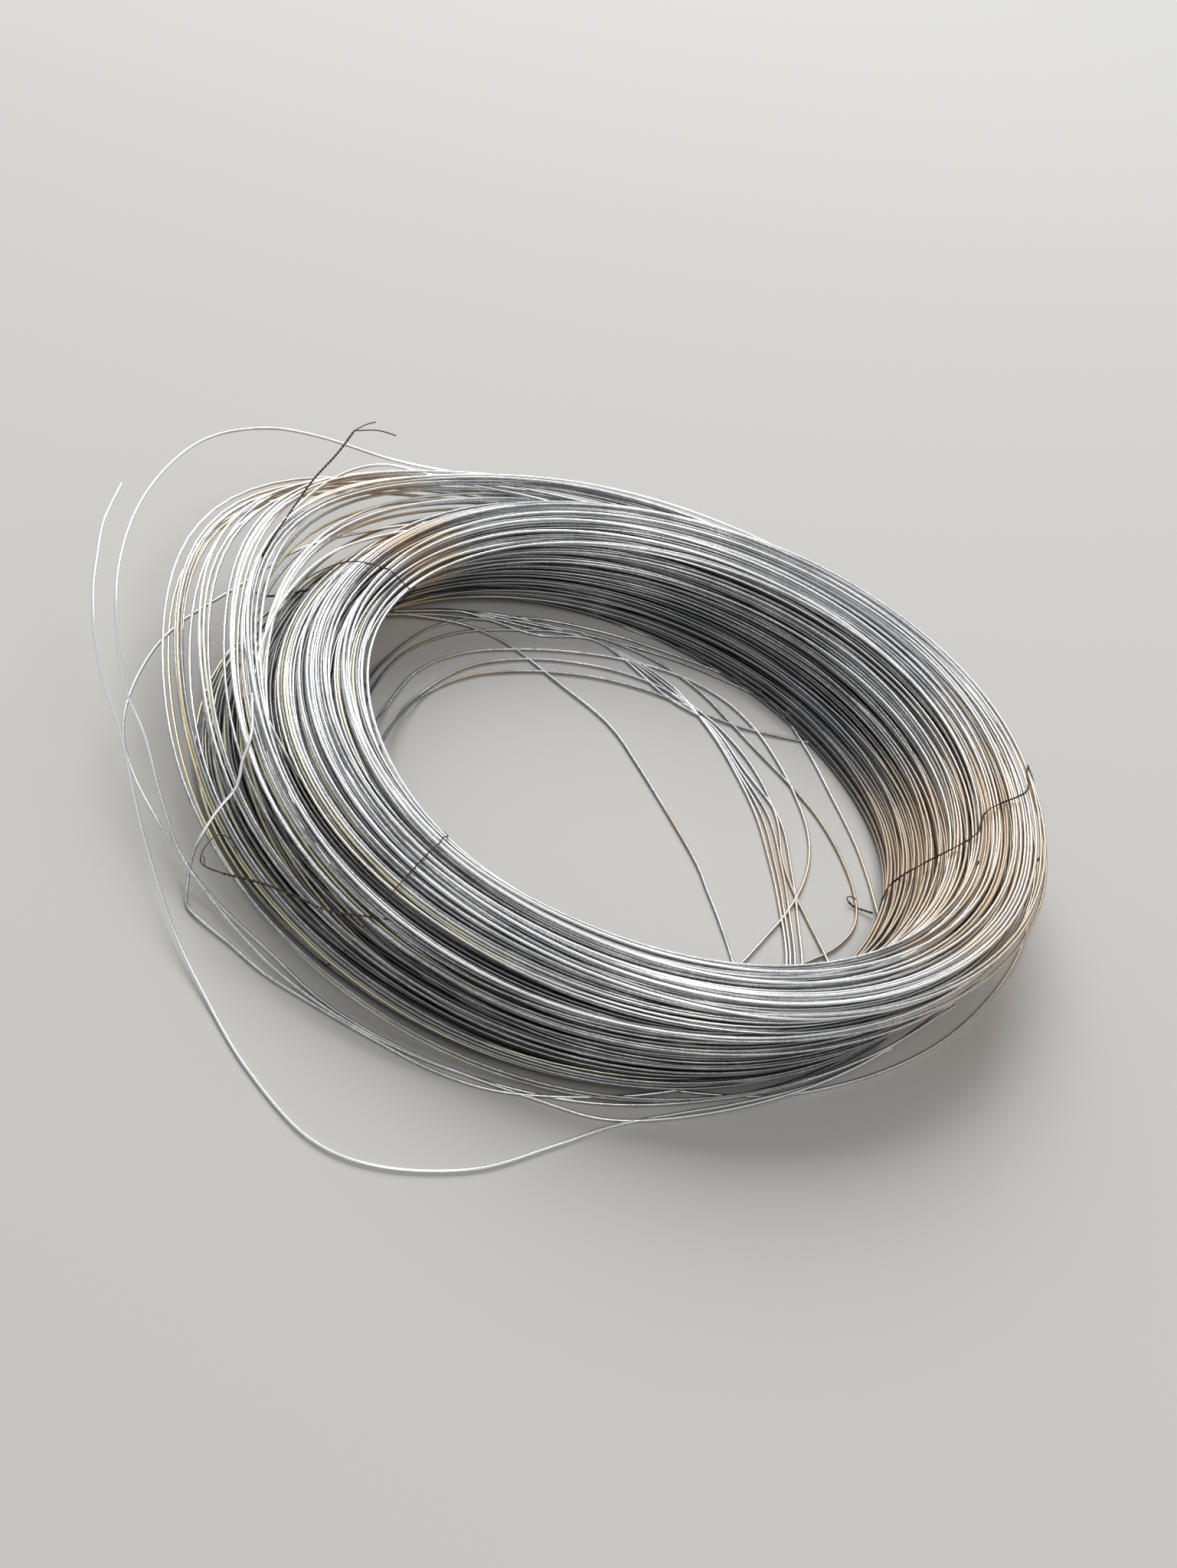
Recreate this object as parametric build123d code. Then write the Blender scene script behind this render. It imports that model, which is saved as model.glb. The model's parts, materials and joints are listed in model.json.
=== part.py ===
# A coil of galvanised fencing wire, lying flat as it is stored.
# The origin is on the bore's axis at half the coil's width. +Z is that axis, and -Y is the near side.
# The wound wire is one turned solid, with a ridge across its ends for every second turn.
# Sprung turns, the wire's free outer end and the three tie wires are pieces of their own.
from build123d import *
import math
import os

# Wire
wire_diameter = 2.5
tie_diameter = 1.0

# Wound body
bore_radius = 242.5
build_up = 57.5
coil_width = 85.0
end_crown = 9.0
end_turn_pitch = 6.0
end_turn_relief = 1.1

# Clearances
seat_gap = 0.3
tie_bore_gap = 0.12

# Sprung turns, from the top one down at the right, where they lie on the body's wall under the right tie.
# A row is how far the turn stands off the wall at most, and its height there as a share of half the coil's width.
sprung_top = 12.0
sprung_spacing = 6.5
sprung_meet = 24.0
sprung_cut = 4.0
sprung_seat_step = 12.0
sprung_turns = [(20.0, 0.28), (38.0, 0.44), (56.0, 0.58), (74.0, 0.70), (92.0, 0.82), (109.0, 0.92)]

# How a sprung turn leaves the wall and comes back to it.
# A row is a bearing, then the shares of the turn's most stand-off and of its rise that it has there.
sprung_course = [
    (123.0, 0.03, 0.01),
    (134.0, 0.12, 0.09),
    (147.0, 0.40, 0.40),
    (155.0, 0.73, 0.72),
    (164.0, 0.95, 0.92),
    (173.0, 1.00, 1.00),
    (184.0, 0.93, 1.00),
    (196.0, 0.79, 0.92),
    (211.0, 0.65, 0.75),
    (231.0, 0.54, 0.44),
    (252.0, 0.42, 0.16),
    (273.0, 0.27, 0.03),
    (290.0, 0.13, 0.0),
    (305.0, 0.045, 0.0),
    (317.0, 0.008, 0.0),
]

# Free outer end, from where it lies on the body's wall to its tip on the floor.
# A row is a bearing, how far the wire stands off the wall, and its height as a share of half the coil's width.
free_end = [
    (97.0, 0.0, 0.68),
    (109.0, 1.0, 0.75),
    (121.0, 5.0, 0.86),
    (133.0, 31.0, 0.98),
    (149.0, 107.0, 1.12),
    (164.0, 153.0, 1.28),
    (180.0, 158.0, 1.32),
    (196.0, 138.0, 0.95),
    (212.0, 117.0, 0.10),
    (228.0, 114.0, -0.75),
    (240.0, 127.0, -1.0),
    (255.0, 158.0, -1.0),
    (264.0, 144.0, -1.0),
    (273.0, 93.0, -1.0),
    (281.5, 45.0, -1.0),
]

# Tie wires: the bearing of each, then the tip of its twisted tail as a bearing, how far it stands off the wall
# and its height as a share of half the coil's width
tie_wires = {
    "tie_wire_right": (14.0, 16.0, 16.0, 1.3),
    "tie_wire_back_left": (167.0, 155.0, 55.0, 2.4),
    "tie_wire_front_left": (242.0, 226.0, 78.0, 0.6),
}
tie_bend = 3.0
tie_tail_root = 25.0

# Sizes that follow
wire_radius = wire_diameter / 2
tie_radius = tie_diameter / 2
outer_radius = bore_radius + build_up
middle_radius = bore_radius + build_up / 2
lying_height = coil_width / 2 - wire_radius
wall_top = coil_width / 2 - end_turn_relief - end_crown
crown_radius = (build_up**2 / 4 + end_crown**2) / (2 * end_crown)
crown_centre = wall_top + end_crown - crown_radius
tie_crown_radius = crown_radius + end_turn_relief + seat_gap + tie_radius
sprung_wall_radius = outer_radius - wire_diameter - seat_gap
sprung_wall_height = wall_top + sprung_top


def polar(radius, bearing, height=0.0):
    """A point from its distance to the axis, its bearing in degrees and its height."""
    angle = math.radians(bearing)
    return Vector(radius * math.cos(angle), radius * math.sin(angle), height)


def off_wall(bearing, stand_off, share):
    """A point that stands off the outer wall, its height a share of half the coil's width."""
    return polar(outer_radius + seat_gap + wire_radius + stand_off, bearing, share * lying_height)


def wire_section(diameter):
    """The section of a wire, drawn with four sides."""
    return RegularPolygon(diameter / 2, 4)


def end_turns():
    """The ridges across one end, strung along its crown from the bore to the outside."""
    crown = ThreePointArc(
        (bore_radius, wall_top), (middle_radius, wall_top + end_crown), (outer_radius, wall_top)
    )
    count = round(crown.length / end_turn_pitch)
    points = [crown @ 0]
    for index in range(count):
        groove = crown @ ((index + 1) / count)
        ridge = SagittaArc(points[-1], groove, end_turn_relief) @ 0.5
        points += [ridge, groove]
    return Polyline(points)


def wire_coil():
    """The wound wire, turned about the axis, less the outer layer that the sprung turns came from."""
    top = end_turns()
    bottom = top.mirror(Plane.XZ)
    bore_wall = Line((bore_radius, -wall_top), (bore_radius, wall_top))
    outer_wall = Line((outer_radius, -wall_top), (outer_radius, wall_top))
    section = make_face([*top.edges(), *bottom.edges(), bore_wall, outer_wall])
    sprung_layer = Pos(outer_radius, sprung_top) * Rectangle(
        2 * (outer_radius - sprung_wall_radius), sprung_wall_height, align=(Align.CENTER, Align.MAX)
    )
    return revolve(Plane.XZ * (section - sprung_layer), Axis.Z)


def seated_stretch(first, last):
    """Rows of a sprung turn's course where it lies on the wall, between two bearings."""
    steps = round((last - first) / sprung_seat_step)
    return [(first + (last - first) * step / steps, 0.0, 0.0) for step in range(steps + 1)]


def sprung_turn(place, stand_off, far_share):
    """One turn that lies on the body's wall at the right and stands off it at the left."""
    leaves, returns = sprung_course[0][0], sprung_course[-1][0]
    course = seated_stretch(sprung_meet + sprung_cut / 2, leaves - sprung_seat_step)
    course += sprung_course
    course += seated_stretch(returns + sprung_seat_step, sprung_meet - sprung_cut / 2 + 360)
    wall = sprung_wall_radius + seat_gap + wire_radius
    near_height = sprung_top - wire_diameter - sprung_spacing * place
    rise = far_share * lying_height - near_height
    path = Spline(
        [polar(wall + off * stand_off, bearing, near_height + up * rise) for bearing, off, up in course]
    )
    return sweep(Plane(origin=path @ 0, z_dir=path % 0) * wire_section(wire_diameter), path)


def wire_end_outer():
    """The wire's end, which leaves the wall, swings out over the sprung turns and hooks back along the floor."""
    path = Spline([off_wall(*row) for row in free_end])
    section = Plane(origin=path @ 0, z_dir=path % 0) * wire_section(wire_diameter)
    return sweep(section, path)


def tie_loop():
    """A tie's loop, tight round the body's section, as it lies at bearing zero."""
    inner = bore_radius - tie_bore_gap - tie_radius
    outer = outer_radius + seat_gap + tie_radius
    upper_band = Pos(inner, 0) * Rectangle(outer - inner, coil_width, align=(Align.MIN, Align.MIN))
    upper_half = upper_band & Pos(middle_radius, crown_centre) * Circle(tie_crown_radius)
    outline = upper_half + mirror(upper_half, Plane.XZ)
    outline = fillet(outline.vertices(), tie_bend)
    path = (Plane.XZ * outline).wire()
    return sweep(Plane(origin=path @ 0, z_dir=path % 0) * wire_section(tie_diameter), path)


def tie_wire(bearing, tip_bearing, tip_stand_off, tip_share):
    """A tie: its loop, and a tail of two strands twisted together, drawn as one round rod."""
    lean = math.radians(tie_tail_root)
    root = polar(
        middle_radius + tie_crown_radius * math.sin(lean),
        bearing,
        crown_centre + tie_crown_radius * math.cos(lean),
    )
    tail = off_wall(tip_bearing, tip_stand_off, tip_share) - root
    rod = extrude(Plane(origin=root, z_dir=tail) * Circle(tie_diameter), tail.length)
    return Rot(Z=bearing) * tie_loop() + rod


parts = {
    "wire_coil": wire_coil(),
    "sprung_turns": Compound([sprung_turn(place, *row) for place, row in enumerate(sprung_turns)]),
    "wire_end_outer": wire_end_outer(),
}
for name, row in tie_wires.items():
    parts[name] = tie_wire(*row)

os.makedirs("parts", exist_ok=True)
for name, part in parts.items():
    export_step(part, f"parts/{name}.step")
    size = part.bounding_box()
    print(name, part.is_valid, round(part.volume), size.min, size.max)
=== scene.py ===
# %% [markdown]
# # A coil of galvanised fencing wire
# The coil lies flat, as it is stored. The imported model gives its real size: the bore, the outer radius, the
# width and the level that it rests on. Everything below is worked out from those, in millimetres, and
# turned into metres only when a mesh is made.

# %% Load the frame
import bpy
import json
import math
import numpy as np
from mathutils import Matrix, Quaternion, Vector


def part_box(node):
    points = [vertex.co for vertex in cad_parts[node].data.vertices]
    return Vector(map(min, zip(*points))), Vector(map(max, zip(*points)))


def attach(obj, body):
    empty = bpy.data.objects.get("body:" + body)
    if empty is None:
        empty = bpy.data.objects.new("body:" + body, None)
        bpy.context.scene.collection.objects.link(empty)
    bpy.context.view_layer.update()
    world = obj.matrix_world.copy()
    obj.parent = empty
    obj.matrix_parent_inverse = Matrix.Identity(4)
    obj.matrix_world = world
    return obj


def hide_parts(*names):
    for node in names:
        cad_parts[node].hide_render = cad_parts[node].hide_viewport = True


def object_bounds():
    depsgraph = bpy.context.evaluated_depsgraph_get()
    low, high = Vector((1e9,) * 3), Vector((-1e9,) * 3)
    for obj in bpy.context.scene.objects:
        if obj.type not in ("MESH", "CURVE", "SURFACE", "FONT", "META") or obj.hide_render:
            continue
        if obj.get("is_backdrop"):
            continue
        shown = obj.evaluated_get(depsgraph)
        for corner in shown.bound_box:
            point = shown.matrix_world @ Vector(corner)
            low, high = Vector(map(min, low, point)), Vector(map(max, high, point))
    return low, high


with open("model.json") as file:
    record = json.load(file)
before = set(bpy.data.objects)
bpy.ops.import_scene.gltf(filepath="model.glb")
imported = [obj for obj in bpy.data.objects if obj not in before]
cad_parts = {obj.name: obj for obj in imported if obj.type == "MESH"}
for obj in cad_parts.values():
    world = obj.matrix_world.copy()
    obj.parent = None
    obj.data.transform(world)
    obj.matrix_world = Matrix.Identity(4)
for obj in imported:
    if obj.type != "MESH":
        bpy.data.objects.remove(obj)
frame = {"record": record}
cad_low, cad_high = (tuple(corner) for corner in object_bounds())
MM = 0.001
_, coil_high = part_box("wire_coil")
outer_radius = coil_high[0] / MM
half_width = coil_high[2] / MM
bore_radius = frame["record"]["mounts"][0]["dims"]["r_mm"]
floor_height = cad_low[2] / MM
wire_radius = 1.25
tie_radius = 0.5
print("bore", bore_radius, "outside", outer_radius, "half width", half_width, "floor", floor_height)

# %% [markdown]
# ## Camera
# The photograph looks down on the coil's upper end from the near side, with the camera rolled a little.
# Placing the camera by a point, an aim and a roll keeps those three facts apart, so each can be corrected
# alone. The real coil leans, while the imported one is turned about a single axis, so that axis is set at the
# middle of the lean. The upper rim's own middle then stands off it, and the camera and all that was read
# off the photograph are placed from there.

# %% Camera
IMAGE_HEIGHT = 2048
RIM_MIDDLE = (20.0, 13.0)
rim_shift = Vector((*RIM_MIDDLE, 0.0)) * MM
camera_place = rim_shift + Vector((0.0, -1.5218, 1.2056))
camera_aim = rim_shift + Vector((-0.05695, -0.0606, 0.0))
camera_roll = math.radians(20.7)
focal_pixels = 3197.0

camera = bpy.data.objects.new("camera", bpy.data.cameras.new("camera"))
bpy.context.scene.collection.objects.link(camera)
bpy.context.scene.camera = camera
camera.location = camera_place
level = (camera_aim - camera_place).to_track_quat("-Z", "Y")
camera.rotation_mode = "QUATERNION"
camera.rotation_quaternion = level @ Quaternion((0, 0, 1), camera_roll)
camera.data.lens = focal_pixels * camera.data.sensor_width / IMAGE_HEIGHT
print("lens", round(camera.data.lens, 2))

# %% [markdown]
# ## Winding one long wire
# The real coil is one wire, wound turn beside turn and layer upon layer. So the wire is made as one long
# path: each turn has a slot in the coil's section, the path drifts from one slot to the next as it goes
# round, and a slow random wander keeps it from looking machined. Points are kept as a distance from the
# bore's axis and a height, at fixed stations round the coil, because then two turns that run too close are
# found by comparing points of one station.

# %% Slots across the section
TURNING = 2 * math.pi
STATIONS = 112
LAYERS = 17
AXIAL_PITCH = 3.55
END_CROWN = 9.0
ROUND_GROWTH = 4.0
OVAL = 4.5
OVAL_BEARING = math.radians(8)
RADIUS_WANDER = 4.0
HEIGHT_WANDER = 4.2
RIPPLE = 1.6
rng = np.random.default_rng(20)


def winding_slots():
    """The slot of each turn, as a radius and a height, up one layer and down the next."""
    slots = []
    for layer in range(LAYERS):
        share = (layer + 0.5) / LAYERS
        half = half_width - wire_radius - END_CROWN * (2 * share - 1) ** 2
        heights = np.linspace(-half, half, round(2 * half / AXIAL_PITCH))
        radius = bore_radius + share * (outer_radius - bore_radius)
        slots += [(radius, height) for height in heights[:: 1 if layer % 2 else -1]]
    return np.array(slots)


slots = winding_slots()
TURNS = len(slots)
POINTS = TURNS * STATIONS
print("turns", TURNS, "points", POINTS)


# %% Smooth drift and wander
def along_knots(knots, knots_per_turn=1):
    """A smooth curve through the neighbourhood of knots, spaced evenly along the whole wire."""
    place = np.arange(POINTS) / STATIONS * knots_per_turn
    cell = place.astype(int)
    t = place - cell
    padded = np.concatenate([knots[:1], knots, knots[-1:], knots[-1:]])
    a, b, c, d = (padded[cell + step] for step in range(4))
    start = (1 - t) ** 3 * a + (3 * t**3 - 6 * t**2 + 4) * b
    return (start + (-3 * t**3 + 3 * t**2 + 3 * t + 1) * c + t**3 * d) / 6


def wander(knots_per_turn, size):
    """A slow random wander along the wire."""
    return along_knots(rng.normal(0, size, TURNS * knots_per_turn), knots_per_turn)


angle = np.arange(POINTS) / STATIONS * TURNING % TURNING
ring = along_knots(slots[:, 0]) + wander(2, RADIUS_WANDER) + wander(6, RIPPLE)
ring += ROUND_GROWTH + OVAL * np.cos(2 * (angle - OVAL_BEARING))
height = along_knots(slots[:, 1]) + wander(2, HEIGHT_WANDER) + wander(6, RIPPLE)

# %% [markdown]
# ## What time and handling did to it
# The lower turns have slid towards the left, so the coil leans like a pushed stack of rings. Three ties
# pinch it. The outermost turns have sprung off at the left: they lie on the coil at the right, leave it
# sharply at the back and come back to it slowly along the front.

# %% Slide and pinch
SLIDE = 80.0
SLIDE_BEARING = math.radians(213)
SLIDE_POWER = 1.1
TOP_CENTRE = (RIM_MIDDLE[0] - 2.0, RIM_MIDDLE[1] - 1.0)
TIE_BEARINGS = [math.radians(bearing) for bearing in (16, 169, 243)]
PINCH = 0.08
PINCH_SPREAD = math.radians(14)


def fall_off(bearing, middle, spread, full_turn=360):
    """One at the middle bearing, falling to nought on both sides of it."""
    away = (bearing - middle + full_turn / 2) % full_turn - full_turn / 2
    return np.exp(-((away / spread) ** 2))


middle_radius = (bore_radius + outer_radius) / 2
pinch = np.ones(POINTS)
for bearing in TIE_BEARINGS:
    pinch -= PINCH * fall_off(angle, bearing, PINCH_SPREAD, TURNING)
ring = middle_radius + (ring - middle_radius) * pinch
height = height * pinch

# %% Sprung turns
# A row of the course is a bearing, then the share of its most stand-off that a sprung turn has there.
SPRUNG_TURNS = 34
SPRUNG_SHUFFLE = 0.3
SPRUNG_LEAST = 8.0
SPRUNG_MOST = 144.0
SPRUNG_BEARING = math.radians(179)
SPRUNG_JITTER = 4.0
SPRUNG_RISE = 40.0
SPRUNG_RISE_BEARING = math.radians(150)
SPRUNG_FREE = 24
SPRUNG_FLATTEN = 0.5
COURSE_BLUR = 3
CENTRE_WANDER = 2.5
SPRUNG_COURSE = [
    (70, 0.0), (92, 0.025), (110, 0.08), (125, 0.13), (137, 0.19), (147, 0.31), (155, 0.66), (160, 0.94),
    (164, 1.07), (168, 1.07), (173, 1.0), (178, 0.91), (184, 0.79), (190, 0.66), (196, 0.55), (204, 0.47),
    (211, 0.44), (231, 0.31), (252, 0.16), (273, 0.06), (295, 0.0),
]

order = SPRUNG_SHUFFLE * rng.permutation(SPRUNG_TURNS) + (1 - SPRUNG_SHUFFLE) * np.arange(SPRUNG_TURNS)
sprung_knots = np.zeros(TURNS)
sprung_knots[-SPRUNG_TURNS:] = SPRUNG_LEAST + (SPRUNG_MOST - SPRUNG_LEAST) * order / SPRUNG_TURNS
sprung = along_knots(sprung_knots)
turned = along_knots(np.where(sprung_knots > 0, rng.normal(0, SPRUNG_JITTER, TURNS), 0))
course = np.zeros(POINTS)
for step in (-COURSE_BLUR, 0, COURSE_BLUR):
    course += np.interp(np.degrees(angle) - turned + step, *np.array(SPRUNG_COURSE).T) / 3
far_side = np.clip(sprung / SPRUNG_FREE, 0, 1) * (1 + np.cos(angle - SPRUNG_BEARING)) / 2
rise = far_side * SPRUNG_RISE * np.cos(angle - SPRUNG_RISE_BEARING)
height = height * (1 - SPRUNG_FLATTEN * far_side) + rise

depth = np.clip((half_width - height) / (2 * half_width), 0, 1) ** SLIDE_POWER
centre_x = TOP_CENTRE[0] + SLIDE * depth * math.cos(SLIDE_BEARING) + wander(1, CENTRE_WANDER)
centre_y = TOP_CENTRE[1] + SLIDE * depth * math.sin(SLIDE_BEARING) + wander(1, CENTRE_WANDER)
along = centre_x * np.cos(angle) + centre_y * np.sin(angle)
across = centre_x * np.sin(angle) - centre_y * np.cos(angle)
radius = along + np.sqrt(ring**2 - across**2) + sprung * course

# %% [markdown]
# ## Making room
# Slots and wander alone would let wires pass through each other. At each station every pair that is too
# close is pushed apart, a little at a time, and the wire is smoothed after each push so that it stays a
# stiff wire. Pairs are looked up again every few rounds.

# %% Push the turns apart
CLEARANCE = 2 * wire_radius * 1.03
CROWDED = 2 * wire_radius * 0.9
PUSH_ROUNDS = 42
LOOK_AGAIN = 6
REACH = 6.5
STIFFNESS = 0.18
UNSMOOTHED_ROUNDS = 2


def near_pairs(radius_grid, height_grid):
    """Pairs of turns that are near each other, as indices of points."""
    first, second = [], []
    for station in range(STATIONS):
        r = radius_grid[:, station]
        z = height_grid[:, station]
        gap2 = (r[:, None] - r[None, :]) ** 2 + (z[:, None] - z[None, :]) ** 2
        i, j = np.nonzero(np.triu(gap2 < REACH**2, 1))
        first.append(i * STATIONS + station)
        second.append(j * STATIONS + station)
    return np.concatenate(first), np.concatenate(second)


def push_apart(radius, height):
    """Moves the wire until no two turns are closer than the clearance."""
    lowest = floor_height + wire_radius
    for round_number in range(PUSH_ROUNDS):
        if round_number % LOOK_AGAIN == 0:
            first, second = near_pairs(radius.reshape(TURNS, STATIONS), height.reshape(TURNS, STATIONS))
        apart_r = radius[first] - radius[second]
        apart_z = height[first] - height[second]
        gap = np.sqrt(apart_r**2 + apart_z**2) + 1e-6
        push = np.clip(CLEARANCE - gap, 0, None) / gap / 2
        for part, apart in ((radius, apart_r), (height, apart_z)):
            move = push * apart
            part += np.bincount(first, move, POINTS) - np.bincount(second, move, POINTS)
        if round_number < PUSH_ROUNDS - UNSMOOTHED_ROUNDS:
            for part in (radius, height):
                part[1:-1] += STIFFNESS * (part[:-2] + part[2:] - 2 * part[1:-1])
        np.maximum(height, lowest, out=height)
    return int((gap < CROWDED).sum()), len(gap)


crowded, pairs = push_apart(radius, height)
path = np.stack([radius * np.cos(angle), radius * np.sin(angle), height], 1)
print("pairs still closer than 0.9 of a wire", crowded, "of", pairs)
print("path low", path.min(0).round(1), "high", path.max(0).round(1))

# %% [markdown]
# ## Zinc, bright, with painted shade and a painted tan reflection
# Fencing wire is dipped in molten zinc and wiped. It is bright when new. It dulls turn by turn where it has
# been handled. All of it is painted darker towards the floor, which is painted shade for the lower turns.
# Tan at two bearings is a painted warm reflection, and some turns at the left have a straw tinge. Three
# numbers on each point of the wire carry that to the finish: how bright it is, painted shade included, how
# much painted tan reflection it has and how yellow.

# %% Shade and stain along the wire
# A painted warm reflection is its bearing, how far it spreads to either side, both in degrees, and its depth.
PAINTED_WARM_REFLECTIONS = [(2, 48, 1.0), (156, 15, 0.9)]
STRAW_BEARING = 200.0
STRAW_SPREAD = 55.0
STRAW_FROM = 0.6
STRAW_DEPTH = 3
STRAW_ELSEWHERE = 0.3
# Painted shade: the zinc is painted darker over this depth below the top, down to the floor.
PAINTED_FLOOR_SHADE = 0.8
PAINTED_SHADE_DEPTH = 52.0


def zinc_marks(points, turn_bright, turn_reflection_and_straw):
    """Brightness with painted shade low down, painted tan reflection and yellowness of the zinc at points in
    mm.
    """
    bearing = np.degrees(np.arctan2(points[:, 1], points[:, 0]))
    # Painted warm reflection: tan where the zinc would mirror warm brown surroundings.
    reflected_tan = sum(depth * fall_off(bearing, middle, spread) for middle, spread, depth in PAINTED_WARM_REFLECTIONS)
    straw = STRAW_DEPTH * np.clip(turn_reflection_and_straw - STRAW_FROM, 0, 1)
    straw *= STRAW_ELSEWHERE + fall_off(bearing, STRAW_BEARING, STRAW_SPREAD)
    # Painted shade, darker towards the floor.
    low = np.clip((half_width - points[:, 2]) / PAINTED_SHADE_DEPTH, 0, 1)
    return {
        "bright": np.clip(turn_bright * (1 - PAINTED_FLOOR_SHADE * low), 0, 1),
        "stain": np.clip(reflected_tan * (0.55 + 0.45 * turn_reflection_and_straw), 0, 1),
        "straw": np.clip(straw, 0, 1),
    }


turn_bright = along_knots(rng.uniform(0, 1, TURNS * 2), 2)
# Each turn's share of the painted tan reflection and of the straw tinge.
turn_reflection_and_straw = along_knots(rng.uniform(0, 1, TURNS * 2), 2)
path_marks = zinc_marks(path, turn_bright, turn_reflection_and_straw)
print({name: values.mean().round(2) for name, values in path_marks.items()})

# %% [markdown]
# ## Shader arithmetic
# A material is easier to read as a formula than as a web of nodes. A small class wraps a socket, so that
# adding or multiplying two of them adds the Math node that does it.


# %% A socket that can be reckoned with
class Socket:
    """A shader socket that takes part in arithmetic on numbers."""

    def __init__(self, tree, socket):
        self.tree = tree
        self.socket = socket

    def node(self, kind, settings=None, **inputs):
        """Any node: its type, its settings, and the values or links of its sockets, a space written as _."""
        made = self.tree.nodes.new(kind)
        for name, value in (settings or {}).items():
            setattr(made, name, value)
        for name, value in inputs.items():
            key = int(name[1:]) if name[1:].isdigit() else name.replace("_", " ")
            target = made.inputs[key]
            if isinstance(value, Socket):
                self.tree.links.new(value.socket, target)
            else:
                target.default_value = value
        return made

    def out(self, kind, settings=None, output=0, **inputs):
        """The same, giving one output as a socket to go on with."""
        return Socket(self.tree, self.node(kind, settings, **inputs).outputs[output])

    def math(self, operation, first, second):
        """A Math node on two numbers."""
        return self.out("ShaderNodeMath", {"operation": operation}, i0=first, i1=second)

    def __add__(self, other):
        return self.math("ADD", self, other)

    def __sub__(self, other):
        return self.math("SUBTRACT", self, other)

    def __rsub__(self, other):
        return self.math("SUBTRACT", other, self)

    def __mul__(self, other):
        return self.math("MULTIPLY", self, other)

    __radd__ = __add__
    __rmul__ = __mul__

    def mark(self, name):
        """A number that is stored on the points of the piece."""
        return self.out("ShaderNodeAttribute", {"attribute_name": name}, "Fac")

    def between(self, low, high):
        """Nought below low and one above high, with a soft step between."""
        settings = {"interpolation_type": "SMOOTHSTEP"}
        return self.out("ShaderNodeMapRange", settings, Value=self, From_Min=low, From_Max=high)

    def mix(self, first, second):
        """From the first colour to the second, by this number."""
        return self.out("ShaderNodeMix", {"data_type": "RGBA"}, 2, i0=self, i6=first, i7=second)


def metal(name):
    """A material with its shader node and a socket of its object coordinates."""
    material = bpy.data.materials.new(name)
    material.use_nodes = True
    tree = material.node_tree
    shader = tree.nodes["Principled BSDF"]
    place = Socket(tree, tree.nodes.new("ShaderNodeTexCoord").outputs["Object"])
    return material, shader, place


def feed(shader, **inputs):
    """Links or sets sockets of the shader."""
    for name, value in inputs.items():
        target = shader.inputs[name.replace("_", " ")]
        if isinstance(value, Socket):
            value.tree.links.new(value.socket, target)
        else:
            target.default_value = value


# %% Galvanised zinc
BRIGHT_ZINC = (0.80, 0.81, 0.82, 1)
# The dark end is also painted shade: the painted darkening towards the floor pulls the zinc to it.
DULL_AND_SHADED_ZINC = (0.20, 0.205, 0.215, 1)
# Painted reflection: the tan that the zinc would mirror from warm brown surroundings.
PAINTED_TAN_REFLECTION = (0.50, 0.38, 0.25, 1)
STRAW_ZINC = (0.74, 0.68, 0.47, 1)
PATCH_SCALE = 38.0
SPECK_SCALE = 420.0


def galvanised_zinc():
    """Zinc that dulls from turn to turn and along each turn, with painted shade, a painted tan reflection and
    straw.
    """
    material, shader, place = metal("galvanised_zinc")
    # The bright mark holds each turn's own tone and the painted shade towards the floor.
    bright = place.mark("bright")
    stain = place.mark("stain")
    straw = place.mark("straw")
    patches = place.out("ShaderNodeTexNoise", Vector=place, Scale=PATCH_SCALE, Detail=3.0)
    specks = place.out("ShaderNodeTexNoise", Vector=place, Scale=SPECK_SCALE, Detail=2.0)
    shine = (0.95 * bright + 0.3 * patches + 0.4 * specks - 0.2).between(0.2, 0.8)
    # Painted warm reflection, tan.
    tan = (stain * (0.55 + 0.9 * patches)).between(0.25, 0.85)
    yellowed = (straw * (0.5 + patches)).between(0.2, 0.7)
    # The dull end of this mix also carries the painted shade towards the floor.
    clean = shine.mix(DULL_AND_SHADED_ZINC, BRIGHT_ZINC)
    # The tan mixed in here is the painted warm reflection.
    colour = (0.75 * tan).mix((0.8 * yellowed).mix(clean, STRAW_ZINC), PAINTED_TAN_REFLECTION)
    rough = 0.38 - 0.18 * shine + 0.16 * tan
    bump = place.out("ShaderNodeBump", Strength=0.4, Distance=0.0002, Height=specks)
    feed(shader, Base_Color=colour, Roughness=rough, Metallic=1 - 0.25 * tan, Normal=bump)
    return material


# %% Annealed steel
TIE_DARK = (0.055, 0.05, 0.048, 1)
TIE_RUST = (0.13, 0.075, 0.045, 1)
RUST_SCALE = 90.0


def annealed_steel():
    """Soft dark tie wire, brown where it starts to rust."""
    material, shader, place = metal("annealed_steel")
    rust = place.out("ShaderNodeTexNoise", Vector=place, Scale=RUST_SCALE, Detail=3.0).between(0.5, 0.7)
    colour = rust.mix(TIE_DARK, TIE_RUST)
    feed(shader, Base_Color=colour, Roughness=0.45 + 0.25 * rust, Metallic=1 - 0.6 * rust)
    return material


zinc = galvanised_zinc()
annealed = annealed_steel()
print("materials", [material.name for material in bpy.data.materials])

# %% [markdown]
# ## From a path to a wire
# A wire is a circle carried along its path, which is what Curve to Mesh does. One Geometry Nodes tree
# serves every wire here. The path comes in as a mesh of points and edges, so that the numbers stored on its
# points travel with it to the finished surface.


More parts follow.
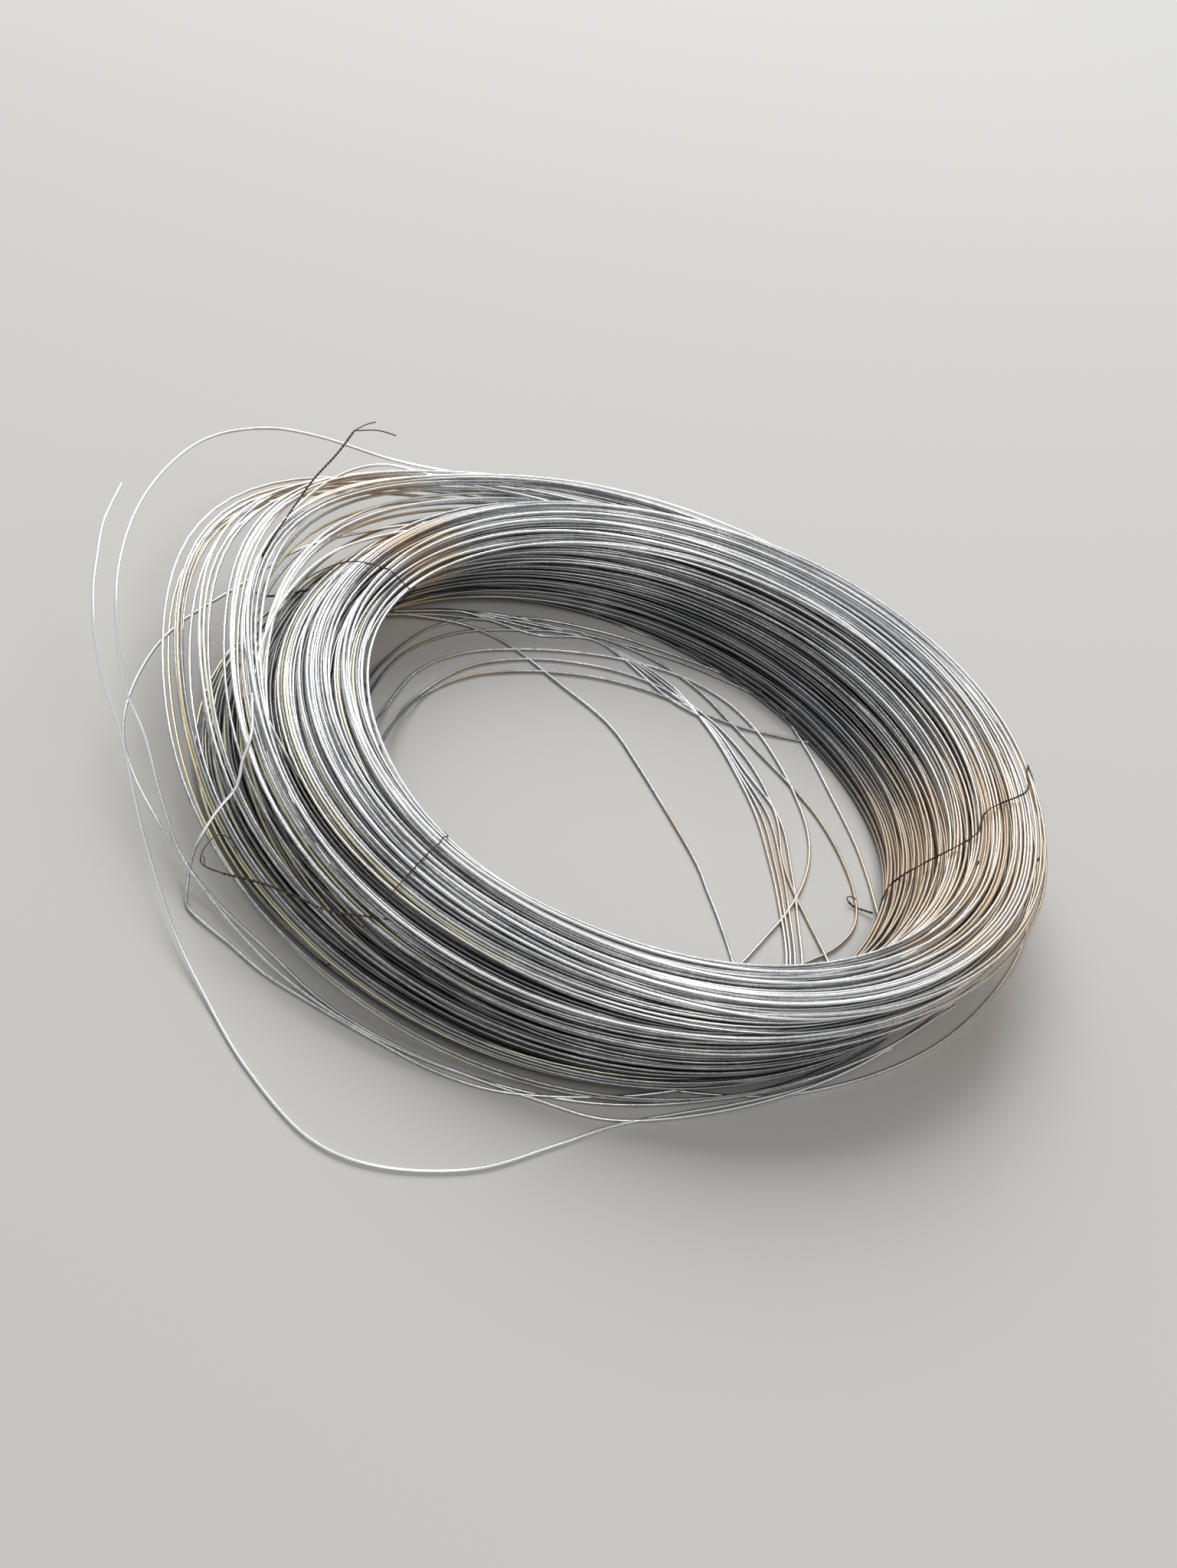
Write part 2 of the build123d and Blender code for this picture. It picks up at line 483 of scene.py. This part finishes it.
# %% The wire tree
def wire_tree():
    """Geometry Nodes: a mesh path becomes a round wire of a given radius and number of sides."""
    tree = bpy.data.node_groups.new("wire_along_path", "GeometryNodeTree")
    face = tree.interface
    face.new_socket("Path", in_out="INPUT", socket_type="NodeSocketGeometry")
    face.new_socket("Wire radius", in_out="INPUT", socket_type="NodeSocketFloat")
    face.new_socket("Sides", in_out="INPUT", socket_type="NodeSocketInt")
    face.new_socket("Finish", in_out="INPUT", socket_type="NodeSocketMaterial")
    face.new_socket("Wire", in_out="OUTPUT", socket_type="NodeSocketGeometry")
    given = tree.nodes.new("NodeGroupInput").outputs

    def node(kind, **links):
        made = tree.nodes.new(kind)
        for name, socket in links.items():
            tree.links.new(socket, made.inputs[int(name[1:]) if name[1:].isdigit() else name])
        return made

    curve = node("GeometryNodeMeshToCurve", i0=given["Path"])
    upright = node("GeometryNodeSetCurveNormal", i0=curve.outputs[0])
    upright.mode = "Z_UP"
    sizes = {"Resolution": given["Sides"], "Radius": given["Wire radius"]}
    circle = node("GeometryNodeCurvePrimitiveCircle", **sizes)
    tube = node("GeometryNodeCurveToMesh", i0=upright.outputs[0], i1=circle.outputs[0])
    tube.inputs["Fill Caps"].default_value = True
    smooth = node("GeometryNodeSetShadeSmooth", i0=tube.outputs[0])
    real = node("GeometryNodeRealizeInstances", i0=smooth.outputs[0])
    finish = node("GeometryNodeSetMaterial", i0=real.outputs[0], Material=given["Finish"])
    node("NodeGroupOutput", i0=finish.outputs[0])
    return tree


wire_nodes = wire_tree()


# %% Make a piece of wire
def make_wire(name, paths, finish, radius_mm=wire_radius, sides=6, marks=None):
    """A piece of one or more wires, from paths in millimetres, with marks stored on the points."""
    starts = np.cumsum([0] + [len(one) for one in paths[:-1]])
    runs = [np.arange(start, start + len(one) - 1) for start, one in zip(starts, paths)]
    first = np.concatenate(runs)
    mesh = bpy.data.meshes.new(name + "_path")
    edges = np.stack([first, first + 1], 1)
    mesh.from_pydata((np.concatenate(paths) * MM).tolist(), edges.tolist(), [])
    for label, values in (marks or {}).items():
        stored = mesh.attributes.new(label, "FLOAT", "POINT")
        stored.data.foreach_set("value", values.astype(np.float32))
    holder = bpy.data.objects.new(name + "_path", mesh)
    bpy.context.scene.collection.objects.link(holder)
    modifier = holder.modifiers.new("wire", "NODES")
    modifier.node_group = wire_nodes
    given = {"Wire radius": radius_mm * MM, "Sides": sides, "Finish": finish}
    for socket in wire_nodes.interface.items_tree:
        if socket.name in given:
            modifier[socket.identifier] = given[socket.name]
    held = holder.evaluated_get(bpy.context.evaluated_depsgraph_get())
    piece = bpy.data.objects.new(name, bpy.data.meshes.new_from_object(held))
    holder.modifiers.remove(modifier)
    bpy.data.objects.remove(holder)
    bpy.context.scene.collection.objects.link(piece)
    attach(piece, "root")
    piece.data.calc_loop_triangles()
    print(name, "triangles", len(piece.data.loop_triangles), "wires", len(paths))
    return piece


# %% The wound turns
PARTS = ("inner", "lower_middle", "upper_middle", "outer")
cuts = np.linspace(0, TURNS, len(PARTS) + 1).astype(int) * STATIONS
for label, first, last in zip(PARTS, cuts[:-1], cuts[1:]):
    last = min(last + 1, POINTS)
    stretch = {name: values[first:last] for name, values in path_marks.items()}
    piece = make_wire(f"wound_turns_{label}", [path[first:last]], zinc, marks=stretch)
    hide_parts("wire_coil")
    if label == "outer":
        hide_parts("sprung_turns")

# %% [markdown]
# ## Loose wires
# A few turns have come right away from the coil. Each was read off the photograph as a handful of places:
# the bearing in degrees, the distance from the middle of the upper rim and the height. A smooth curve
# through them is the wire. At a height of -42 it lies on the floor. The wire's outer end has its tip high
# at the left, comes down to the floor in front and runs back to the coil there.


# %% A smooth curve through a few places
def smooth_through(points, spacing=7.0):
    """A smooth curve through points in space, with its own points about a spacing apart."""
    points = np.asarray(points, float)
    padded = np.concatenate([2 * points[:1] - points[1:2], points, 2 * points[-1:] - points[-2:-1]])
    curve = []
    for a, b, c, d in zip(padded[:-3], padded[1:-2], padded[2:-1], padded[3:]):
        count = max(2, int(np.linalg.norm(c - b) / spacing))
        t = (np.arange(count) / count)[:, None]
        bend = t**2 * (a - 2.5 * b + 2 * c - d / 2)
        turn = t**3 * (1.5 * (b - c) + (d - a) / 2)
        curve.append(b + t * (c - a) / 2 + bend + turn)
    return np.concatenate(curve + [points[-1:]])


def places(rows):
    """Points in space from rows of bearing, radius and height, about the middle of the upper rim."""
    bearing, distance, level = np.array(rows, float).T
    bearing = np.radians(bearing)
    along_x = RIM_MIDDLE[0] + distance * np.cos(bearing)
    along_y = RIM_MIDDLE[1] + distance * np.sin(bearing)
    return np.stack([along_x, along_y, level], 1)


# %% A piece of loose wires
OUTER_BRIGHT = 2.6
INNER_BRIGHT = 1.6
BRIGHT_RANGE = (0.7, 1.3)
# Each loose wire's share of the painted tan reflection and of the straw tinge.
LOOSE_REFLECTION_AND_STRAW = 0.4


def wire_marks(paths, bright):
    """Marks for loose wires, each of one brightness."""
    points = np.concatenate(paths)
    level = np.concatenate([np.full(len(one), bright * rng.uniform(*BRIGHT_RANGE)) for one in paths])
    return zinc_marks(points, level, np.full(len(points), LOOSE_REFLECTION_AND_STRAW))


def loose_piece(name, wires, bright, nodes):
    """A piece of loose wires, from rows of places for each."""
    paths = [smooth_through(places(rows)) for rows in wires]
    piece = make_wire(name, paths, zinc, sides=8, marks=wire_marks(paths, bright))
    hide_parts(*nodes)
    return piece


# %% Loose turns outside
upper_left_arc = [
    (118, 290, 36), (130, 306, 38), (141, 334, 41), (149.5, 370, 43), (155.4, 417, 47), (160, 446, 50),
    (166.3, 465, 52), (173.5, 468, 53), (182.3, 464, 52), (191.5, 456, 48), (198.8, 446, 34),
    (203.6, 435, 12), (209, 420, 0), (217, 414, -14), (225, 409, -26), (240, 390, -38), (256, 366, -42),
    (275, 336, -42), (296, 304, -38), (316, 292, -24), (334, 292, -10),
]
bundle_arc = [
    (150, 296, 32), (162, 318, 32), (173, 346, 30), (184, 370, 24), (192, 402, 14), (198, 421, 4),
    (205, 433, -6), (211, 430, -16), (219, 416, -24), (227, 399, -36), (236, 384, -40), (245, 379, -41),
    (255, 366, -42), (269, 350, -42), (280, 342, -42), (297, 312, -38), (315, 294, -28), (335, 288, -14),
]
kinked_arc = [
    (150, 288, 30), (160, 302, 35), (172, 320, 38), (184, 330, 39), (196, 338, 39), (206, 345, 37),
    (213, 351, 34), (217, 363, 27), (219.8, 371, 21), (221.6, 389, 8), (223.4, 405, -10), (224, 408, -28),
    (226.6, 416, -41), (228.6, 415, -41.5), (233, 405, -42), (238, 398, -42), (244, 386, -42),
    (251, 376, -42), (259, 368, -42), (267, 353, -42), (280, 322, -38), (295, 300, -26),
]
crossing_arc = [
    (124, 286, 34), (133, 302, 38), (141, 318, 42), (147, 338, 46), (152, 360, 49), (157, 369, 49),
    (163, 370, 48), (170, 367, 48), (178, 364, 48), (187, 360, 46), (197, 352, 40), (207, 338, 30),
    (217, 320, 16), (227, 302, 0), (238, 288, -12),
]
bottom_turn = [
    (246, 338, -30), (260, 322, -38), (272, 308, -42), (284, 304, -42), (300, 301, -42), (316, 297, -42),
    (332, 298, -42), (348, 303, -42), (2, 312, -40), (16, 318, -32), (30, 314, -18), (44, 306, -4),
    (58, 297, 8), (71, 289, 15), (84, 284, 18),
]
loose_outer = [upper_left_arc, bundle_arc, crossing_arc, kinked_arc, bottom_turn]
loose_piece("loose_turns_outer", loose_outer, OUTER_BRIGHT, ["sprung_turns"])

# %% The wire's outer end
outer_end = [
    (181, 483, 60), (184.6, 480.6, 58), (187.3, 478.8, 56), (191.3, 473.4, 53), (195, 469.5, 48),
    (199.1, 464, 41), (202.3, 458.4, 33), (205.2, 452.3, 24), (210.3, 440, 10), (220, 436, -14),
    (230, 440, -34), (238, 449, -41), (246, 465, -42), (254, 478, -42), (260, 466, -42), (267, 430, -42),
    (273, 385, -42), (279, 349, -42), (287, 324, -42), (296, 308, -41), (308, 296, -37), (322, 288, -30),
]
loose_piece("wire_end", [outer_end], OUTER_BRIGHT, ["wire_end_outer"])

# %% Loose turns inside the bore
inner_turns = [
    [(223, 274, 16), (215, 250, 10), (204, 236, -8), (192, 222, -26), (176, 211, -41), (162, 196, -42),
     (149, 178, -42), (136, 163, -42), (123, 152, -42), (108, 142, -42), (92, 135, -42), (77, 139, -42),
     (66, 156, -42), (56, 186, -42), (47, 222, -38)],
    [(220, 276, 14), (211, 252, 6), (200, 243, -14), (188, 234, -36), (170, 229, -42), (156, 217, -42),
     (141, 198, -42), (127, 186, -42), (113, 179, -42), (98, 173, -42), (84, 164, -42), (70, 150, -42),
     (54, 135, -42), (37, 127, -42), (20, 126, -42), (4, 128, -42), (348, 132, -42), (332, 140, -42),
     (318, 153, -42), (307, 172, -42), (298, 196, -38), (288, 230, -24), (278, 254, -10), (270, 276, 0)],
    [(218, 278, 12), (208, 254, 4), (196, 249, -18), (180, 249, -40), (166, 248, -42), (152, 238, -42),
     (138, 221, -42), (124, 210, -42), (110, 198, -42), (96, 192, -42), (80, 191, -42), (64, 198, -42),
     (50, 214, -40), (38, 232, -34)],
    [(214, 282, 10), (204, 260, 2), (190, 254, -20), (172, 255, -40), (154, 254, -42), (136, 236, -42),
     (120, 216, -42), (106, 203, -42), (90, 198, -42), (72, 204, -42), (56, 220, -38), (42, 240, -30)],
    [(226, 274, 14), (216, 250, 6), (206, 238, -12), (193, 224, -30), (178, 216, -42), (160, 204, -42),
     (144, 188, -42), (128, 172, -42), (112, 158, -42), (96, 142, -42), (80, 126, -42), (62, 112, -42),
     (42, 103, -42), (20, 101, -42), (358, 107, -42), (344, 127, -42), (335, 158, -42), (328, 196, -40),
     (320, 232, -28), (309, 258, -10), (300, 276, 2)],
    [(164, 290, -34), (154, 264, -38), (145, 243, -41), (134, 228, -42), (120, 207, -42), (106, 186, -42),
     (92, 162, -42), (78, 140, -42), (62, 128, -42), (45, 128, -42), (27, 138, -42), (10, 153, -42),
     (356, 171, -42), (345, 184, -42), (334, 187, -42), (322, 186, -42), (310, 190, -40), (298, 206, -32),
     (286, 240, -16), (276, 268, -6)],
    [(130, 262, -34), (120, 238, -39), (110, 221, -42), (98, 212, -42), (84, 203, -42), (70, 190, -42),
     (55, 172, -42), (37, 161, -42), (18, 166, -42), (4, 178, -42), (352, 195, -40), (342, 216, -32),
     (330, 240, -20)],
]
for shift in (0, 5, 11, 20):
    inner_turns.append(
        [(160, 284, -36), (148, 258, -40), (136, 234 - shift, -42), (120, 200, -42), (102, 160 - shift, -42),
         (83, 118 + shift / 3, -42), (58, 90 + shift / 2, -42), (24, 83 + shift, -42), (353, 98 + shift, -42),
         (334, 128 + shift, -42), (318, 182 + shift, -40), (306, 232, -30), (297, 262, -20)]
    )
loose_piece("loose_turns_inner", inner_turns, INNER_BRIGHT, ["wire_coil"])

# %% The wire's inner end
inner_end = [
    (163, 290, -34), (156, 266, -38), (149, 240, -41), (144, 205, -42), (140, 153, -42), (132, 98, -42),
    (128, 43, -42), (312, 57, -42), (308, 98, -42), (306, 135, -42), (304, 175, -42), (301, 214, -34),
    (297, 246, -20), (292, 270, -10),
]
loose_piece("wire_start", [inner_end], INNER_BRIGHT, ["wire_coil"])

# %% [markdown]
# ## Ties
# Three lengths of soft dark wire hold the coil together. Each goes round the bundle and ends in two strands
# twisted together. The loop is found from the wires themselves: the furthest that they reach in each
# direction across the section gives a band that lies tight on them, with no guess at their outline.

# %% A band round the wires at a bearing
BAND_POINTS = 72
BAND_SMOOTHINGS = 3
TWIST_PITCH = 7.0
STRANDS = 2
STRAND_APART = 1.06
TAIL_SPACING = 1.2
END_SPACING = 2.0


def reach_across(station, direction, keep):
    """How far the wires reach in one direction across the section at a station, from the section's middle."""
    across = (radius[station::STATIONS][:keep] - middle_radius) * math.cos(direction)
    return (across + height[station::STATIONS][:keep] * math.sin(direction)).max()


def band(bearing_of_direction, keep=None):
    """A closed path tight round the wires. Its bearing may change with the direction across the section."""
    directions = np.arange(BAND_POINTS) / BAND_POINTS * TURNING
    reach = []
    for direction in directions:
        place, part = divmod(bearing_of_direction(direction) / TURNING * STATIONS, 1)
        here = reach_across(int(place) % STATIONS, direction, keep)
        reach.append(here * (1 - part) + reach_across(int(place + 1) % STATIONS, direction, keep) * part)
    reach = np.array(reach) + wire_radius + tie_radius
    for _ in range(BAND_SMOOTHINGS):
        reach = (np.roll(reach, 1) + 2 * reach + np.roll(reach, -1)) / 4
    slope = (np.roll(reach, -1) - np.roll(reach, 1)) / (2 * TURNING / BAND_POINTS)
    r = middle_radius + reach * np.cos(directions) - slope * np.sin(directions)
    z = np.maximum(reach * np.sin(directions) + slope * np.cos(directions), floor_height + tie_radius)
    bearings = np.array([bearing_of_direction(direction) for direction in directions])
    loop = np.stack([r * np.cos(bearings), r * np.sin(bearings), z], 1)
    return np.concatenate([loop, loop[:1]])


def twisted(path):
    """Strands twisted together along a path."""
    run = np.gradient(path, axis=0)
    run /= np.linalg.norm(run, axis=1)[:, None]
    side = np.cross(run, [0, 0, 1.0])
    side /= np.linalg.norm(side, axis=1)[:, None]
    other = np.cross(run, side)
    gone = np.concatenate([[0], np.cumsum(np.linalg.norm(np.diff(path, axis=0), axis=1))])
    twists = []
    for strand in range(STRANDS):
        turn = gone / TWIST_PITCH * TURNING + strand * TURNING / STRANDS
        around = np.cos(turn)[:, None] * side + np.sin(turn)[:, None] * other
        twists.append(path + STRAND_APART * tie_radius * around)
    return twists


# %% The ties
def slanted(top_outside, bottom_inside, top_inside=None):
    """A bearing that turns from one value at the top outside to another at the bottom inside."""
    middle = (top_outside + bottom_inside) / 2
    bend = 0 if top_inside is None else (middle - top_inside) / 2
    swing = (top_outside - bottom_inside) / 2

    def bearing(direction):
        turned = direction - math.radians(45)
        return math.radians(middle - bend + swing * math.cos(turned) + bend * math.cos(2 * turned))

    return bearing


def tie_piece(name, loop, tail, node, ends):
    """A tie: its loop, its twisted tail and what its strands do beyond the twist."""
    strands = [*loop, *twisted(smooth_through(places(tail), TAIL_SPACING))]
    strands += [smooth_through(places(one), END_SPACING) for one in ends]
    piece = make_wire(name, strands, annealed, tie_radius)
    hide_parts(node)
    return piece


tie_piece(
    "tie_right",
    twisted(band(slanted(26, -4, 5))),
    [(-8.4, 191, -40), (-8.6, 184, -41), (-8.8, 176, -42), (-8.6, 170, -41)],
    "tie_wire_right",
    [[(-8.6, 170, -41), (-8.2, 167, -38.5), (-7.6, 170, -37), (-7.2, 174, -38.5)]],
)
tie_piece(
    "tie_back_left",
    [band(slanted(169, 164), -SPRUNG_TURNS)],
    [(172, 306, 14), (178, 330, 12), (183, 350, 18), (184.5, 359, 30), (183, 361, 40), (178, 361, 52),
     (173, 361, 62), (168, 363, 73), (163, 364, 84), (159.5, 367, 96)],
    "tie_wire_back_left",
    [[(159.5, 367, 96), (157.5, 366, 98), (156, 364, 98.5)],
     [(159.5, 367, 96), (156.5, 358, 95), (154, 350, 90)]],
)
tie_piece(
    "tie_front_left",
    [band(slanted(244, 238), -SPRUNG_TURNS)],
    [(245, 322, 10), (243.2, 336, 14), (238.9, 358, 9), (234.9, 369, 5), (231.8, 384, 4), (229.4, 406, 5)],
    "tie_wire_front_left",
    [[(229.4, 406, 5), (228, 417, 7), (227, 415, 9), (225.8, 407, 9), (224.5, 394, 7), (225.2, 386, 5),
      (227.2, 387, 4)], [(229.4, 406, 5), (227.9, 413, 3), (226.2, 409, 1)]],
)

# %% [markdown]
# ## Floor and light
# A pale floor keeps the coil's outline and shadow plain. Round wires only look round when they reflect
# something, so one large lamp stands behind and to the left, where the wires mirror it to the camera, and
# the rest stays dim. The world is dim as a light, yet pale to the camera and in reflections: Light Path
# tells the two apart. Far from the coil the floor fades into that same pale colour, so a low view shows no
# edge behind the coil.

# %% Floor
FLOOR_SIZE = 12.0
FADE_FROM = 1.4
FADE_TO = 3.6
PALE = (0.69, 0.69, 0.685, 1)
FLOOR_PAINT = (0.72, 0.715, 0.70, 1)
ground = bpy.data.meshes.new("floor")
square = ((-1, -1), (1, -1), (1, 1), (-1, 1))
corners = [(x * FLOOR_SIZE, y * FLOOR_SIZE, cad_low[2]) for x, y in square]
ground.from_pydata(corners, [], [(0, 1, 2, 3)])
floor = bpy.data.objects.new("floor", ground)
bpy.context.scene.collection.objects.link(floor)
floor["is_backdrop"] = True
paint, paint_shader, spot = metal("floor_paint")
feed(paint_shader, Base_Color=FLOOR_PAINT, Roughness=0.9, Metallic=0.0)
ground.materials.append(paint)


def seen(tree):
    """One for what is seen, also in a reflection or through glass. Nought for light that falls on things."""
    start = Socket(tree, None)
    kinds = ("Is Camera Ray", "Is Glossy Ray", "Is Transmission Ray")
    by_camera, in_gloss, through = (start.out("ShaderNodeLightPath", output=kind) for kind in kinds)
    return (by_camera + in_gloss + through).between(0, 1)


distance = spot.out("ShaderNodeVectorMath", {"operation": "LENGTH"}, "Value", i0=spot)
far = distance.between(FADE_FROM, FADE_TO)
haze = spot.out("ShaderNodeEmission", Color=PALE, Strength=1.0)
surface = Socket(paint.node_tree, paint_shader.outputs[0])
hazed = spot.out("ShaderNodeMixShader", i0=far * seen(paint.node_tree), i1=surface, i2=haze)
paint.node_tree.links.new(hazed.socket, paint.node_tree.nodes["Material Output"].inputs["Surface"])

# %% World and lamps
WORLD_LIGHT = 0.28
world = bpy.data.worlds.new("studio")
bpy.context.scene.world = world
world.use_nodes = True
background = world.node_tree.nodes["Background"]
feed(background, Color=PALE, Strength=WORLD_LIGHT + (1 - WORLD_LIGHT) * seen(world.node_tree))


def soft_lamp(name, place, width, power, colour=(1, 1, 1)):
    """A square area lamp that looks at the coil."""
    data = bpy.data.lights.new(name, "AREA")
    data.size = width
    data.energy = power
    data.color = colour
    lamp = bpy.data.objects.new(name, data)
    bpy.context.scene.collection.objects.link(lamp)
    lamp.location = place
    lamp.rotation_euler = (-Vector(place)).to_track_quat("-Z", "Y").to_euler()


soft_lamp("key", (-2.0, 4.8, 4.0), width=5.2, power=410)
soft_lamp("fill", (1.2, -1.6, 2.6), width=1.6, power=22, colour=(1.0, 0.95, 0.88))
bpy.context.scene.view_settings.view_transform = "Standard"
